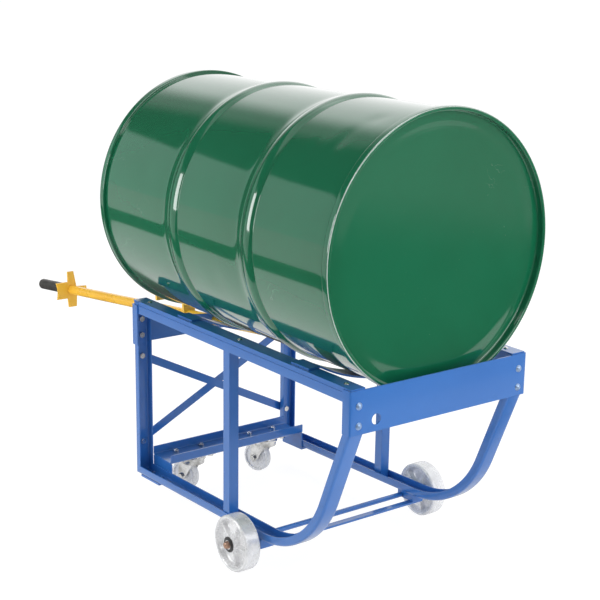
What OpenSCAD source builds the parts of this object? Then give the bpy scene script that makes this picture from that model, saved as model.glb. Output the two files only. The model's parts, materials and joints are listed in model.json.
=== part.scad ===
// Mobile drum cradle: a wheeled frame of bent channel with two curved saddles that carry
// a steel drum on its side, and a pull-out lever with a rim hook for tipping cart and drum.
// Millimetres, +Z up, drum axis along Y, front plate towards -Y, origin on the floor below
// the middle of the whole.

/* [Drum] */
// Outer radius of the drum body
drum_r = 286.8; // [270:0.1:300]
// Length of the drum over its two rims
drum_len = 880; // [800:1:960]
// Sheet thickness of the body and heads
drum_wall = 1.5; // [1:0.1:3]
// How far rims and rolling hoops stand out from the body
hoop_out = 6; // [3:0.1:7]
// Axial width of each rolling hoop
hoop_w = 26; // [18:1:34]
// Distance from the front rim to the middle of the first rolling hoop
hoop_front = 271; // [250:1:300]
// Distance between the two rolling hoops
hoop_gap = 291; // [280:1:297]
// Axial length of each rim seam
seam_len = 18; // [14:0.5:20]
// How far each head lies inside its rim
head_deep = 16; // [13:0.5:20]
// Radius of the flat, raised middle of each head
head_flat_r = 258; // [240:1:262]
// How far the middle of each head stands out from its edge
head_step = 5; // [2:0.5:7]
// Radius of the large filling plug
plug_big_r = 34; // [28:0.5:38]
// Radius of the small vent plug
plug_small_r = 17; // [12:0.5:20]
// Distance of both plugs from the drum axis
plug_at = 206; // [190:1:212]
// Height of the drum axis above the floor
axis_h = 740; // [700:0.5:780]

/* [Frame] */
// Overall width over the front plate
frame_w = 480; // [460:1:500]
// Distance from the front plate's face to the back of the rear posts
frame_len = 840; // [800:1:880]
// Height of the drum axis above the top rails
rail_fall = 240; // [238:0.5:241]
// Width of each top rail
rail_w = 36; // [32:0.5:37]
// Height of each top rail's sides
rail_h = 30; // [24:0.5:36]
// Sheet thickness of rails, posts, channels and plates
sheet = 3; // [2:0.1:3.5]
// Width of the bent side channels
chan_w = 38; // [36:0.5:42]
// Depth of the side channels
chan_d = 20; // [16:0.5:22]
// Height of the bottom channels above the floor at the rear
low_z = 57; // [54:0.5:60]
// Angle at which the bottom channels rise towards the front
low_rise = 1.9; // [1.5:0.1:2.3]
// Lean of the front legs from upright
leg_lean = 22.3; // [20:0.1:24]
// Height above the front plate's lower edge at which the front legs turn upright
kink_up = 5; // [1:1:25]
// Outer radius of the bend behind the front plate
kink_r = 30; // [22:1:60]
// Outer radius of the large rocker bend
rocker_r = 245; // [220:1:255]
// Side of the square middle posts
post_w = 25; // [20:0.5:28]
// Distance from the front plate's face to the middle posts
post_y = 429; // [400:1:460]
// Wall of the middle posts
post_wall = 2; // [1.5:0.1:3]

/* [Plates and saddles] */
// Height of the front plate
plate_h = 92; // [80:1:100]
// How far the plates' side flanges reach back
plate_flange = 25; // [22:0.5:35]
// Outer radius of the plates' folds
fold_r = 4; // [3.5:0.5:7]
// Gap between the top rails' top and the front plate's top edge
plate_drop = 3; // [1:0.5:5]
// Height of the rear plate
rear_h = 100; // [90:1:106]
// Gap between the top rails' top and the rear plate's top edge
rear_drop = 10; // [6:0.5:14]
// Radius of the hollow in the rear plate's top edge
cut_r = 398; // [360:1:440]
// Clearance between the drum body and the hollow in the rear plate
cut_gap = 21; // [18:0.5:24]
// Radius of the round hole in the front plate
hole_r = 11.5; // [8:0.5:14]
// Distance of that hole from the middle of the plate
hole_x = 173; // [150:1:190]
// Height of that hole above the plate's lower edge
hole_z = 25; // [18:0.5:40]
// Width of each saddle strap along the drum
saddle_w = 60; // [50:1:72]
// Thickness of the saddle straps
saddle_t = 4; // [3:0.1:4.5]
// Distance from the front plate's face to the middle of the front saddle
saddle_front = 181; // [150:1:200]
// Gap between the second rolling hoop and the rear saddle
saddle_free = 3; // [2:0.5:8]
// Gap between the drum body and the saddles
saddle_gap = 0.3; // [0.2:0.05:0.5]
// Distance from the front plate's face to the drum's front rim
drum_y = 14; // [10:0.5:16]

/* [Rear brace] */
// Width of each brace bar
brace_w = 20; // [16:0.5:24]
// Thickness of each brace bar
brace_t = 4; // [3:0.5:5]
// Distance from the rear plate's lower edge down to the upper brace bolts
brace_drop = 33; // [20:1:50]
// Height of the lower brace bolts
brace_low = 136; // [120:1:150]

/* [Axle and wheels] */
// Radius of the front wheels
wheel_r = 63.5; // [58:0.5:64]
// Width of the front wheels' tread
wheel_w = 38; // [30:0.5:40]
// Distance from the front plate's face to the axle
axle_y = 344; // [338:1:360]
// Radius of the axle
axle_r = 6; // [5:0.1:7]
// Gap between the side channels and the wheel hubs
hub_gap = 3.5; // [2:0.5:6]
// How far the wheel hub stands out on each side of the tread
hub_out = 10; // [6:0.5:12]
// Radius of the wheel hub
hub_r = 18; // [16:0.5:22]
// Length of the axle blocks along the cart
block_l = 56; // [52:1:64]
// Distance from the axle forward to the front edge of the axle blocks
block_front = 42; // [40:0.5:46]
// Width of the flat tie bar in front of the axle
tie_w = 16; // [12:0.5:20]
// Thickness of the tie bar
tie_t = 5; // [4:0.5:6]
// Running clearance of every wheel bore
run_gap = 0.08; // [0.05:0.01:0.1]

/* [Casters] */
// Distance from the back of the rear posts forward to the caster channel
cross_back = 21; // [16:1:30]
// Width of the caster channel along the cart
cross_w = 84; // [82:1:90]
// Depth of the caster channel
cross_d = 23; // [20:0.5:28]
// Outer corner radius of the caster channel
cross_r = 6; // [4:0.5:7]
// Thickness of the brackets' feet
bracket_t = 5; // [3:0.5:6]
// Height of the caster channel's underside, and so of the casters
caster_h = 101; // [100:0.5:108]
// Distance of each caster from the middle of the cart
caster_x = 110; // [100:1:130]
// Radius of the caster wheels
caster_r = 37.5; // [34:0.5:38.5]
// Width of the caster wheels
caster_w = 24; // [20:0.5:26]
// Distance from the swivel axis back to the caster wheel's axle
trail = 26; // [20:0.5:30]
// Turn of both casters at rest
caster_turn = 15; // [0:1:45]
// Spacing of the caster plate's bolts across the cart
pad_x = 74; // [70:1:78]
// Spacing of the caster plate's bolts along the cart
pad_y = 44; // [40:1:48]

/* [Lever] */
// Radius of the lever tube
lever_r = 13.35; // [12:0.05:14]
// Wall of the lever tube
lever_wall = 2.6; // [2:0.1:3]
// Downward slope of the lever towards its grip
lever_fall = 6.3; // [6:0.1:7]
// Height of the lever axis above the rear plate's lower edge
lever_up = 22; // [20:0.5:24]
// Length of the lever outside the rear plate
lever_out = 979; // [900:1:1050]
// How far the lever's inner end reaches past the middle of the rear saddle
lever_past = -17.3; // [-40:0.1:-16]
// Clearance of the lever tube in the rear plate
lever_gap = 0.35; // [0.2:0.05:0.6]
// Distance from the drum's rear rim to the rim hook
hook_gap = 70.3; // [58:0.1:90]
// Half width of the rim hook's crossbar
hook_half = 94; // [80:1:110]
// Height of the crossbar's lower edge above the lever axis
hook_low = 50; // [45:1:60]
// Height of the crossbar
hook_h = 45; // [35:1:50]
// Thickness of the hook and of the four-armed plate
hook_t = 8; // [5:0.5:10]
// Radius of the two hook prongs
prong_r = 5; // [4:0.5:6]
// Distance from the rear plate to the four-armed plate along the lever
star_s = 785; // [740:1:810]
// Reach of each arm of the four-armed plate
star_reach = 55; // [40:1:60]
// Length of the grip
grip_l = 135; // [110:1:160]
// Radius of the grip
grip_r = 15.5; // [15:0.25:18]

/* [Fasteners] */
// Distance from the front plate to each rail's first rivet
rivet_front = 37; // [16:1:40]
// Distance from the middle post forward to each rail's second rivet
rivet_mid = 16; // [10:1:30]
// Distance from the rear post forward to each rail's last rivet
rivet_rear = 26; // [14:1:40]
// Radius of the frame bolts
bolt_r = 4; // [3:0.5:5]
// Width of bolt heads and nuts across flats
nut_af = 13; // [11:0.5:14]
// Height of hexagon heads and nuts
nut_h = 5.5; // [4:0.5:7]

/* [Hidden] */
$fn = 96;
eps = 0.01;

blue = [0.13, 0.35, 0.72];
green = [0.05, 0.32, 0.18];
orange = [0.98, 0.62, 0.12];
zinc = [0.78, 0.79, 0.8];
nylon = [0.88, 0.88, 0.86];
black = [0.08, 0.08, 0.09];

nut_r = nut_af / sqrt(3);
frame_in = frame_w / 2 - sheet;            // outer face of the side channels
chan_in = frame_in - chan_w;               // inner face of the side channels
chan_mid = frame_in - chan_w / 2;          // middle of the side channels
rim_r = drum_r + hoop_out;
drum_back = drum_y + drum_len;
rail_top = axis_h - rail_fall;             // height of the top rails
plate_top = rail_top - plate_drop;
plate_low = plate_top - plate_h;
rear_top = rail_top - rear_drop;
rear_low = rear_top - rear_h;
rear_face = frame_len + sheet;             // outer face of the rear plate
kink_z = plate_low + kink_up;
cross_y = frame_len - cross_back - cross_w; // front edge of the caster channel
brace_high = rear_low - brace_drop;
lever_z = rear_low + lever_up;             // height of the lever axis at the rear plate
saddle_rear = drum_y + hoop_front + hoop_gap + (hoop_w + saddle_w) / 2 + saddle_free;
lever_in = (rear_face - saddle_rear) / cos(lever_fall) + lever_past;
hook_s = (drum_back + hook_gap - rear_face) / cos(lever_fall);
body_low = axis_h - drum_r;                // lowest line of the drum body
front_reach = bolt_r + 1;                  // the round heads on the front plate
lever_end = rear_face + lever_out * cos(lever_fall);
mid_y = (lever_end - front_reach) / 2;     // from the front plate to the origin

// The line of the bottom channel's underside, and where the front leg meets it
function low_line(y) = low_z + (frame_len - y) * tan(low_rise);
knee_y = (sheet + (kink_z - low_z - frame_len * tan(low_rise)) * tan(leg_lean))
    / (1 - tan(low_rise) * tan(leg_lean));
knee_z = low_line(knee_y);
knee_cut = rocker_r * tan((90 - low_rise - leg_lean) / 2);
kink_cut = kink_r * tan(leg_lean / 2);

// Centres of the rocker bend and of the small bend behind the front plate, as [y, z]
function inward(a) = [cos(a), sin(a)];
function onward(a) = [-sin(a), cos(a)];
low_lean = 90 - low_rise;
rocker_c = [knee_y, knee_z] - onward(low_lean) * knee_cut + inward(low_lean) * rocker_r;
kink_c = [sheet, kink_z] - onward(leg_lean) * kink_cut + inward(leg_lean) * kink_r;

// Side view of a channel's line at a depth inside its web: post, bottom run, bends and leg
function bend_line(c, r, a1, a2, n) = [for (i = [0:n]) c - r * inward(a1 + (a2 - a1) * i / n)];
function side_line(depth) = concat(
    [[frame_len - depth, rail_top - sheet]],
    [[frame_len - depth, low_z + depth * (tan(low_rise) + 1 / cos(low_rise))]],
    bend_line(rocker_c, rocker_r - depth, low_lean, leg_lean, 36),
    bend_line(kink_c, kink_r - depth, leg_lean, 0, 8),
    [[sheet + depth, rail_top - sheet]]);
function backwards(list) = [for (i = [len(list) - 1:-1:0]) list[i]];

// Moves a drawing from the front plate's frame to the part's own frame
module cart() {
    translate([0, -mid_y, 0]) children();
}

// A copy on each side of the middle plane
module both_sides() {
    children();
    mirror([1, 0, 0]) children();
}

module hexagon(h) {
    rotate(30) cylinder(r = nut_r, h = h, $fn = 6);
}

// Hexagon bolt with its head below z = 0 and its shank up to z = grip + tail
module hex_bolt(grip, tail) {
    translate([0, 0, -nut_h]) hexagon(nut_h);
    translate([0, 0, -eps]) cylinder(r = bolt_r, h = grip + tail + eps, $fn = 32);
}

// Nut with its seat at z = 0
module hex_nut() {
    difference() {
        hexagon(nut_h);
        translate([0, 0, -1]) cylinder(r = bolt_r, h = nut_h + 2, $fn = 32);
    }
}

// Round corner block in the plane, w wide and d deep, closed side at y = 0
module round_block(w, d, r) {
    translate([-w / 2 + r, 0]) square([w - 2 * r, d]);
    translate([-w / 2, r]) square([w, d - r]);
    for (s = [-1, 1])
        translate([s * (w / 2 - r), r]) circle(r, $fn = 48);
}

// Channel section with its web at y = 0 and its flanges up to y = d
module channel_section(w, d, r) {
    difference() {
        round_block(w, d, r);
        translate([0, sheet]) round_block(w - 2 * sheet, d, r - sheet + eps);
    }
}

// Band between two depths of the side view, w wide across the cart
module side_band(d0, d1, w) {
    rotate([90, 0, 90]) translate([0, 0, -w / 2]) linear_extrude(w)
        polygon(concat(side_line(d0), backwards(side_line(d1))));
}

// Rear post, bottom channel, rocker bend and front leg in one bent piece
module side_channel() {
    difference() {
        side_band(0, chan_d, chan_w);
        side_band(sheet, chan_d + 5, chan_w - 2 * sheet);
        for (z = plate_bolt_z)
            translate([0, -1, z]) rotate([-90, 0, 0]) cylinder(r = bolt_r, h = chan_d, $fn = 32);
        for (z = concat(rear_bolt_z, [brace_low, brace_high]))
            translate([0, frame_len - chan_d, z]) rotate([-90, 0, 0]) cylinder(r = bolt_r, h = 2 * chan_d, $fn = 32);
        for (y = bracket_bolt_y)
            on_low(y) translate([0, 0, -1]) cylinder(r = bolt_r, h = chan_d, $fn = 32);
    }
}

// The bolt rows: heights on the two plates, and places along the bottom channels
plate_bolt_z = [kink_z + kink_cut + nut_r + 0.1, plate_low + plate_h * 0.65];
rear_bolt_z = [rear_low + rear_h * 0.2, rear_low + rear_h * 0.6];
bracket_bolt_y = [cross_y + cross_w * 0.25, cross_y + cross_w * 0.75];

// Stands on the outer face of the bottom channel's web at y
module on_low(y) {
    translate([0, y, low_line(y)]) rotate([-low_rise, 0, 0]) children();
}

module left_side_frame() {
    color(blue) cart() translate([-chan_mid, 0, 0]) side_channel();
}

module right_side_frame() {
    color(blue) cart() translate([chan_mid, 0, 0]) side_channel();
}

// Top rail: a channel open below, whose top runs on over the posts at both ends
module top_rail() {
    step = 1.2;
    inner = rail_w - 2 * sheet;
    difference() {
        union() {
            translate([frame_in - rail_w, sheet, rail_top - sheet])
                cube([rail_w - step, frame_len - sheet, sheet]);
            translate([frame_in - rail_w, sheet + chan_d, rail_top - rail_h])
                cube([rail_w, frame_len - sheet - 2 * chan_d, rail_h - sheet - step]);
            translate([frame_in - rail_w, sheet + chan_d, rail_top - sheet - rail_h / 4])
                cube([rail_w - step, frame_len - sheet - 2 * chan_d, rail_h / 4 + sheet]);
        }
        translate([frame_in - rail_w + sheet, 0, rail_top - rail_h - 1])
            cube([inner, frame_len + 1, rail_h - sheet + 1]);
        translate([frame_in - step, 0, rail_top - sheet - rail_h / 4])
            cube([2 * step, frame_len + 1, rail_h]);
        for (y = rivet_y)
            translate([chan_mid, y, rail_top - 2 * sheet]) cylinder(r = bolt_r * 0.75, h = 3 * sheet, $fn = 32);
    }
}

rivet_y = [sheet + rivet_front, post_y - rivet_mid, frame_len - chan_d - rivet_rear];

module left_top_rail() {
    color(blue) cart() mirror([1, 0, 0]) top_rail();
}

module right_top_rail() {
    color(blue) cart() top_rail();
}

// Rivets with round heads that close the rails' top holes
module rail_rivets() {
    color(zinc) cart() both_sides()
        for (y = rivet_y)
            translate([chan_mid, y, rail_top]) {
                intersection() {
                    translate([0, 0, -3]) sphere(r = 6.5, $fn = 48);
                    cylinder(r = 8, h = 8);
                }
                translate([0, 0, -sheet - 2]) cylinder(r = bolt_r * 0.75, h = sheet + 2 + eps, $fn = 32);
                translate([0, 0, -sheet - 2]) cylinder(r = bolt_r * 1.3, h = 2, $fn = 32);
            }
}

// Middle post: square tube from the bottom channel's web to the underside of the rail
module middle_post() {
    foot = low_line(post_y) + sheet / cos(low_rise);
    translate([frame_in - sheet - post_w, post_y, foot])
        difference() {
            cube([post_w, post_w, rail_top - sheet - foot]);
            translate([post_wall, post_wall, -1])
                cube([post_w - 2 * post_wall, post_w - 2 * post_wall, rail_top]);
        }
}

module left_middle_post() {
    color(blue) cart() mirror([1, 0, 0]) middle_post();
}

module right_middle_post() {
    color(blue) cart() middle_post();
}

// Folded plate seen from above: face at y = 0, side flanges back to y = plate_flange
module fold_section() {
    difference() {
        round_block(frame_w, plate_flange, fold_r);
        translate([sheet - frame_w / 2, sheet]) square([frame_w - 2 * sheet, plate_flange]);
    }
}

module front_plate() {
    color(blue) cart() difference() {
        translate([0, 0, plate_low]) linear_extrude(plate_h) fold_section();
        translate([-hole_x, -1, plate_low + hole_z]) rotate([-90, 0, 0]) cylinder(r = hole_r, h = sheet + 2);
        for (s = [-1, 1], z = plate_bolt_z)
            translate([s * chan_mid, -1, z]) rotate([-90, 0, 0]) cylinder(r = bolt_r, h = sheet + 2, $fn = 32);
    }
}

module rear_plate() {
    cut_z = body_low - cut_gap + cut_r;
    color(blue) cart() difference() {
        translate([0, rear_face, rear_low]) mirror([0, 1, 0]) linear_extrude(rear_h) fold_section();
        translate([0, rear_face - 3 * sheet, cut_z]) rotate([-90, 0, 0]) cylinder(r = cut_r, h = 6 * sheet, $fn = 180);
        on_lever(-10) cylinder(r = lever_r + lever_gap, h = 20);
        for (s = [-1, 1], z = rear_bolt_z)
            translate([s * chan_mid, rear_face - 2 * sheet, z]) rotate([-90, 0, 0]) cylinder(r = bolt_r, h = 4 * sheet, $fn = 32);
    }
}

// Saddle strap: flat ends on the rails and an arc below the drum body
module saddle(y) {
    bottom = body_low - saddle_gap;
    half = frame_in - rail_w - sheet - 1;
    sag = rail_top + saddle_t - bottom;
    arc_r = (half * half + sag * sag) / (2 * sag);
    lap = rail_w - 9;
    color(blue) cart() translate([0, y + saddle_w / 2, 0]) rotate([90, 0, 0]) linear_extrude(saddle_w) {
        intersection() {
            translate([0, bottom + arc_r]) difference() {
                circle(arc_r + saddle_t, $fn = 240);
                circle(arc_r, $fn = 240);
            }
            translate([-half, bottom - saddle_t - 1]) square([2 * half, sag + saddle_t + 1]);
        }
        for (s = [-1, 1])
            translate([s > 0 ? half - eps : -half - sheet - 1 - lap, rail_top])
                square([lap + sheet + 1 + eps, saddle_t]);
    }
}

module front_saddle() {
    saddle(saddle_front);
}

module rear_saddle() {
    saddle(saddle_rear);
}

// Brace bar from one post's lower bolt to the other's upper bolt, y0 its front face
module brace_bar(s, y0) {
    rise = brace_high - brace_low;
    long = sqrt(4 * chan_mid * chan_mid + rise * rise);
    tilt = atan2(rise, 2 * chan_mid) * s;
    color(blue) cart() translate([0, y0, (brace_high + brace_low) / 2]) rotate([0, -tilt, 0])
        difference() {
            union() {
                translate([-long / 2, 0, -brace_w / 2]) cube([long, brace_t, brace_w]);
                for (e = [-1, 1])
                    translate([e * long / 2, 0, 0]) rotate([-90, 0, 0]) cylinder(r = brace_w / 2, h = brace_t);
            }
            for (e = [-1, 1])
                translate([e * long / 2, -1, 0]) rotate([-90, 0, 0]) cylinder(r = bolt_r, h = brace_t + 2, $fn = 32);
        }
}

module brace_bar_front() {
    brace_bar(-1, frame_len);
}

module brace_bar_rear() {
    brace_bar(1, frame_len + brace_t);
}

// Spacers that carry the rear bar clear of the front bar
module brace_spacers() {
    color(zinc) cart()
        for (p = [[-chan_mid, brace_low], [chan_mid, brace_high]])
            translate([p[0], frame_len, p[1]]) rotate([-90, 0, 0]) difference() {
                cylinder(r = brace_w / 2 - 1, h = brace_t);
                translate([0, 0, -1]) cylinder(r = bolt_r, h = brace_t + 2, $fn = 32);
            }
}

module brace_bolts() {
    color(zinc) cart()
        for (s = [-1, 1], z = [brace_low, brace_high]) {
            stack = sheet + brace_t * (s * (z - (brace_low + brace_high) / 2) > 0 ? 2 : 1);
            translate([s * chan_mid, frame_len - sheet, z]) rotate([-90, 0, 0]) hex_bolt(stack, nut_h + 2);
        }
}

module brace_nuts() {
    color(zinc) cart()
        for (s = [-1, 1], z = [brace_low, brace_high]) {
            stack = brace_t * (s * (z - (brace_low + brace_high) / 2) > 0 ? 2 : 1);
            translate([s * chan_mid, frame_len + stack, z]) rotate([-90, 0, 0]) hex_nut();
        }
}

// Round-headed bolts on the front plate, with their nuts inside the legs
module front_plate_bolts() {
    head = bolt_r + 1;
    color(zinc) cart()
        for (s = [-1, 1], z = plate_bolt_z)
            translate([s * chan_mid, 0, z]) rotate([-90, 0, 0]) {
                intersection() {
                    translate([0, 0, 4]) sphere(r = head + 4, $fn = 64);
                    translate([0, 0, -head - 1]) cylinder(r = head * 2, h = head + 1);
                }
                translate([0, 0, -eps]) cylinder(r = bolt_r, h = 2 * sheet + nut_h + 2, $fn = 32);
            }
}

module front_plate_nuts() {
    color(zinc) cart()
        for (s = [-1, 1], z = plate_bolt_z)
            translate([s * chan_mid, 2 * sheet, z]) rotate([-90, 0, 0]) hex_nut();
}

module rear_plate_bolts() {
    color(zinc) cart()
        for (s = [-1, 1], z = rear_bolt_z)
            translate([s * chan_mid, frame_len - sheet, z]) rotate([-90, 0, 0]) hex_bolt(2 * sheet, nut_h + 2);
}

module rear_plate_nuts() {
    color(zinc) cart()
        for (s = [-1, 1], z = rear_bolt_z)
            translate([s * chan_mid, rear_face, z]) rotate([-90, 0, 0]) hex_nut();
}

// Channel across the cart, open above, that carries both casters
module caster_channel() {
    color(blue) cart() difference() {
        translate([-chan_in, cross_y + cross_w / 2, caster_h]) rotate([90, 0, 90]) linear_extrude(2 * chan_in)
            channel_section(cross_w, cross_d, cross_r);
        for (s = [-1, 1])
            translate([s * caster_x, caster_y, caster_h]) pad_holes(-1, sheet + 2);
    }
}

caster_y = cross_y + cross_w / 2;

module pad_holes(z, h) {
    for (i = [-1, 1], j = [-1, 1])
        translate([i * pad_x / 2, j * pad_y / 2, z]) cylinder(r = bolt_r, h = h, $fn = 32);
}

// Angle bracket: hangs from the caster channel and folds out under the bottom channel
module caster_bracket() {
    difference() {
        union() {
            translate([chan_in - sheet, cross_y, low_line(cross_y) - bracket_t])
                cube([sheet, cross_w, caster_h - low_line(cross_y) + bracket_t]);
            on_low(cross_y) translate([chan_in - sheet, 0, -bracket_t])
                cube([chan_w + sheet - 2, cross_w, bracket_t]);
        }
        for (y = bracket_bolt_y)
            on_low(y) translate([chan_mid, 0, -bracket_t - 1])
                cylinder(r = bolt_r, h = bracket_t + 2, $fn = 32);
    }
}

module left_caster_bracket() {
    color(blue) cart() mirror([1, 0, 0]) caster_bracket();
}

module right_caster_bracket() {
    color(blue) cart() caster_bracket();
}

module bracket_bolts() {
    color(zinc) cart() both_sides()
        for (y = bracket_bolt_y)
            on_low(y) translate([chan_mid, 0, sheet]) rotate([180, 0, 0]) hex_bolt(sheet + bracket_t, nut_h + 1);
}

module bracket_nuts() {
    color(zinc) cart() both_sides()
        for (y = bracket_bolt_y)
            on_low(y) translate([chan_mid, 0, -bracket_t]) rotate([180, 0, 0]) hex_nut();
}

// Blocks under the bottom channels that hold the axle, and the flat bar that ties them
block_low = wheel_r - axle_r - 0.5;        // underside of the axle blocks

module axle_tie_bar() {
    color(blue) cart()
        translate([-frame_in + 2, axle_y - block_front + 2, block_low - tie_t])
            cube([2 * frame_in - 4, tie_w, tie_t]);
}

module axle_blocks() {
    y0 = axle_y - block_front;
    y1 = y0 + block_l;
    color(blue) cart() both_sides()
        translate([chan_in + 4, 0, 0]) difference() {
            rotate([90, 0, 90]) linear_extrude(chan_w - 4)
                polygon([[y0, block_low], [y1, block_low], [y1, low_line(y1)], [y0, low_line(y0)]]);
            translate([-1, axle_y, wheel_r]) rotate([0, 90, 0]) cylinder(r = axle_r, h = chan_w);
        }
}

hub_in = frame_in + hub_gap;               // inner end of each wheel hub
tread_in = hub_in + hub_out;
hub_end = tread_in + wheel_w + hub_out * 0.3;
bush_flange = hub_gap / 2;

module wheel_axle() {
    long = 2 * (hub_end + bush_flange + 2.5 + 6);
    color(zinc) cart() translate([-long / 2, axle_y, wheel_r]) rotate([0, 90, 0]) cylinder(r = axle_r, h = long);
}

// A front wheel along local +Z from its inner to its outer side, hub bore open
module wheel_body() {
    w = hub_end - hub_in;
    t0 = tread_in - hub_in;
    t1 = t0 + wheel_w;
    rim = 9;
    web = 8;
    mid = (t0 + t1) / 2;
    difference() {
        union() {
            rotate_extrude($fn = 128) polygon([
                [hub_r * 0.62, 0], [hub_r, 0], [hub_r + 2, mid - web / 2 - 3], [hub_r + 6, mid - web / 2],
                [wheel_r - rim - 5, mid - web / 2], [wheel_r - rim, mid - web / 2 - 5], [wheel_r - rim + 2, t0 + 1],
                [wheel_r - rim + 3, t0], [wheel_r - 3, t0], [wheel_r - 0.9, t0 + 0.9], [wheel_r, t0 + 3],
                [wheel_r, t1 - 3], [wheel_r - 0.9, t1 - 0.9], [wheel_r - 3, t1], [wheel_r - rim + 3, t1],
                [wheel_r - rim + 2, t1 - 1], [wheel_r - rim, mid + web / 2 + 5], [wheel_r - rim - 5, mid + web / 2],
                [hub_r + 6, mid + web / 2], [hub_r + 2, mid + web / 2 + 3], [hub_r, w], [hub_r * 0.62, w]]);
            for (k = [0:5])
                rotate(60 * k + 15) translate([hub_r - 1, -2, mid - web / 2 - 7])
                    cube([wheel_r - rim - hub_r + 2, 4, web + 14]);
        }
        translate([0, 0, -1]) cylinder(r = hub_bore, h = w + 2, $fn = 64);
    }
}

hub_bore = hub_r * 0.62;

module bush_body() {
    w = hub_end - hub_in;
    difference() {
        union() {
            cylinder(r = hub_bore, h = w);
            translate([0, 0, w]) cylinder(r = hub_r - 0.5, h = bush_flange);
            translate([0, 0, -bush_flange]) cylinder(r = hub_r - 0.5, h = bush_flange);
        }
        translate([0, 0, -bush_flange - 1]) cylinder(r = axle_r + run_gap, h = w + 2 * bush_flange + 2);
    }
}

module at_wheel(s) {
    cart() translate([s * hub_in, axle_y, wheel_r]) rotate([0, s * 90, 0]) children();
}

module left_wheel() {
    color(nylon) at_wheel(-1) wheel_body();
}

module left_wheel_bush() {
    color(black) at_wheel(-1) bush_body();
}

module right_wheel() {
    color(nylon) at_wheel(1) wheel_body();
}

module right_wheel_bush() {
    color(black) at_wheel(1) bush_body();
}

// Washer outside each hub, and a spacer washer between each hub and the axle block
module axle_washers() {
    w = hub_end - hub_in;
    color(zinc) cart() both_sides() translate([hub_in, axle_y, wheel_r]) rotate([0, 90, 0]) {
        translate([0, 0, w + bush_flange + 0.3]) washer(hub_r * 0.6, 1.7);
        translate([0, 0, -hub_gap]) washer(hub_r * 0.6, hub_gap - bush_flange - 0.3);
    }
}

module washer(r, h) {
    difference() {
        cylinder(r = r, h = h);
        translate([0, 0, -1]) cylinder(r = axle_r, h = h + 2);
    }
}

// Domed push-on caps that close the axle ends
module axle_caps() {
    w = hub_end - hub_in;
    z0 = w + bush_flange + 2;
    end = hub_end + bush_flange + 8.5 - hub_in;
    color([0.62, 0.47, 0.4]) cart() both_sides() translate([hub_in, axle_y, wheel_r]) rotate([0, 90, 0])
        difference() {
            union() {
                translate([0, 0, z0]) cylinder(r = axle_r + 2.5, h = 2);
                translate([0, 0, z0]) cylinder(r = axle_r + 1, h = end - z0 + 0.5);
                translate([0, 0, end + 0.5]) intersection() {
                    translate([0, 0, -8]) sphere(r = 10.63, $fn = 64);
                    cylinder(r = axle_r + 1, h = 4);
                }
            }
            translate([0, 0, z0 - 1]) cylinder(r = axle_r, h = end - z0 + 1);
        }
}

// Caster parts: local frame at the swivel axis, z = 0 at the channel's underside
pad_t = 3;
race_h = 19;
race_r = 30;
crown_z = -pad_t - race_h;                 // top of the fork's crown
fork_t = 2.5;
fork_in = caster_w / 2 + 2;

module at_caster(s) {
    cart() translate([s * caster_x, caster_y, caster_h]) children();
}

module caster_plates() {
    color(zinc)
        for (s = [-1, 1])
            at_caster(s) difference() {
                union() {
                    translate([-pad_x / 2 - 10, -pad_y / 2 - 10, -pad_t]) cube([pad_x + 20, pad_y + 20, pad_t]);
                    translate([0, 0, -pad_t - race_h / 2 + 0.3]) cylinder(r = race_r, h = race_h / 2);
                }
                pad_holes(-pad_t - 1, pad_t + 2);
                translate([0, 0, -pad_t - race_h]) cylinder(r = bolt_r + 1, h = race_h + pad_t + 1, $fn = 48);
            }
}

// Kingpins riveted in the plates, with a head below the fork's crown
module caster_kingpins() {
    color(zinc)
        for (s = [-1, 1])
            at_caster(s) {
                translate([0, 0, crown_z - fork_t - 4]) cylinder(r = bolt_r + 1, h = -crown_z + fork_t + 4, $fn = 48);
                translate([0, 0, crown_z - fork_t - 4.3]) cylinder(r = bolt_r + 5, h = 4, $fn = 48);
            }
}

module caster_bolts() {
    color(zinc)
        for (s = [-1, 1], i = [-1, 1], j = [-1, 1])
            at_caster(s) translate([i * pad_x / 2, j * pad_y / 2, -pad_t]) hex_bolt(pad_t + sheet, nut_h + 3);
}

module caster_nuts() {
    color(zinc)
        for (s = [-1, 1], i = [-1, 1], j = [-1, 1])
            at_caster(s) translate([i * pad_x / 2, j * pad_y / 2, sheet]) hex_nut();
}

// Fork: lower race dish, crown and two tapering cheeks
module fork_body() {
    axle_z = caster_r - caster_h;
    difference() {
        union() {
            translate([0, 0, crown_z - fork_t]) cylinder(r = race_r - 2, h = fork_t + race_h / 2 - 0.3);
            translate([-fork_in - fork_t, -race_r * 0.45, crown_z - fork_t])
                cube([2 * (fork_in + fork_t), race_r * 0.45 + trail + 6, fork_t]);
            for (s = [-1, 1])
                translate([s > 0 ? fork_in : -fork_in - fork_t, 0, 0]) rotate([90, 0, 90]) linear_extrude(fork_t) {
                    polygon([[-race_r * 0.45, crown_z], [trail + 6, crown_z],
                        [trail + 11, axle_z + 4], [trail - 11, axle_z - 4]]);
                    translate([trail, axle_z]) circle(11, $fn = 48);
                }
        }
        translate([0, 0, crown_z - 2 * fork_t]) cylinder(r = bolt_r + 1 + run_gap, h = 2 * fork_t + race_h, $fn = 48);
        translate([-fork_in - 10, trail, axle_z]) rotate([0, 90, 0]) cylinder(r = bolt_r, h = 2 * fork_in + 20, $fn = 32);
    }
}

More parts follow.
